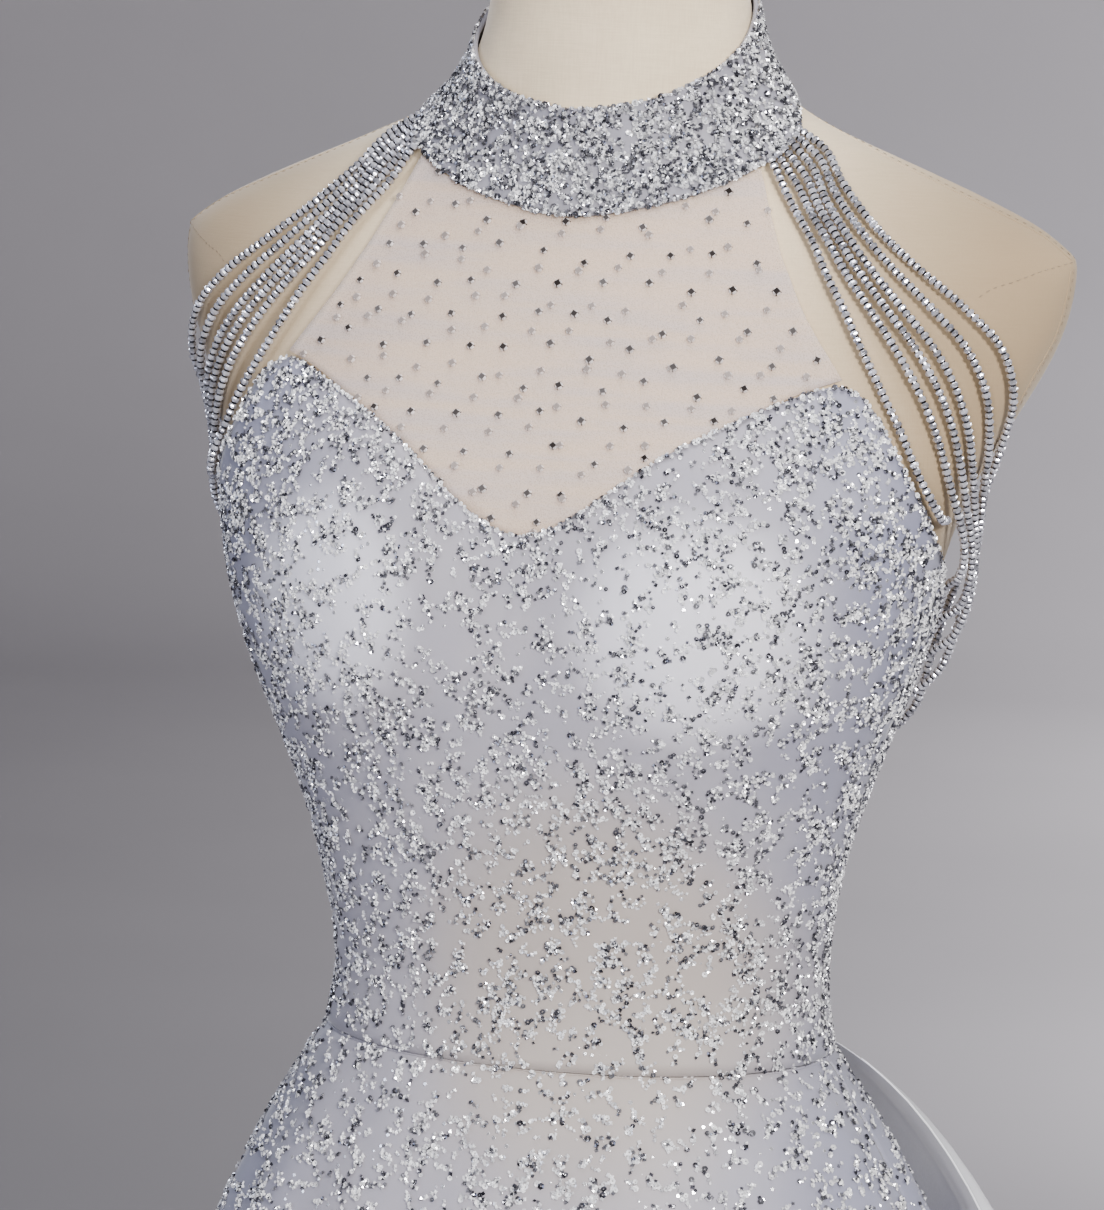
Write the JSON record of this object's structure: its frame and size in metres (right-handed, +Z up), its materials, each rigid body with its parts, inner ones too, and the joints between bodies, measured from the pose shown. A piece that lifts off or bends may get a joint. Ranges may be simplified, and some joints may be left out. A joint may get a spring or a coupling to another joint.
{
  "type": "evening gown on a dress form",
  "caption": "Floor-length beaded halter evening gown with net yoke, draped bead strands at the shoulders and an organza overskirt, shown on a limbless dress form with a round stand.",
  "frame": {"origin": "middle of the underside of the stand's round base, on the floor", "axes": "+Z up along the stand and the body; -Y the way the gown's front faces; +X the wearer's left"},
  "size_m": [0.8653, 0.8195, 1.5643],
  "materials": {
    "beaded_fabric": "satin",
    "illusion_net": "matte",
    "organza": "satin",
    "bead_strand": "gloss",
    "linen": "matte",
    "neck_cap": "satin",
    "stand_metal": "satin"
  },
  "bodies": {
    "root": {"collar": "beaded_fabric", "bodice_front": "beaded_fabric", "bodice_back_left": "beaded_fabric", "bodice_back_right": "beaded_fabric", "skirt_front": "beaded_fabric", "skirt_back_left": "beaded_fabric", "skirt_back_right": "beaded_fabric", "yoke": "illusion_net", "overskirt": "organza", "form_torso": "linen", "neck_cap": "neck_cap", "stand_pole": "stand_metal", "stand_base": "stand_metal", "strand_left_1": "bead_strand", "strand_left_2": "bead_strand", "strand_left_3": "bead_strand", "strand_left_4": "bead_strand", "strand_left_5": "bead_strand", "strand_left_6": "bead_strand", "strand_right_1": "bead_strand", "strand_right_2": "bead_strand", "strand_right_3": "bead_strand", "strand_right_4": "bead_strand", "strand_right_5": "bead_strand", "strand_right_6": "bead_strand"}
  },
  "joints": []
}
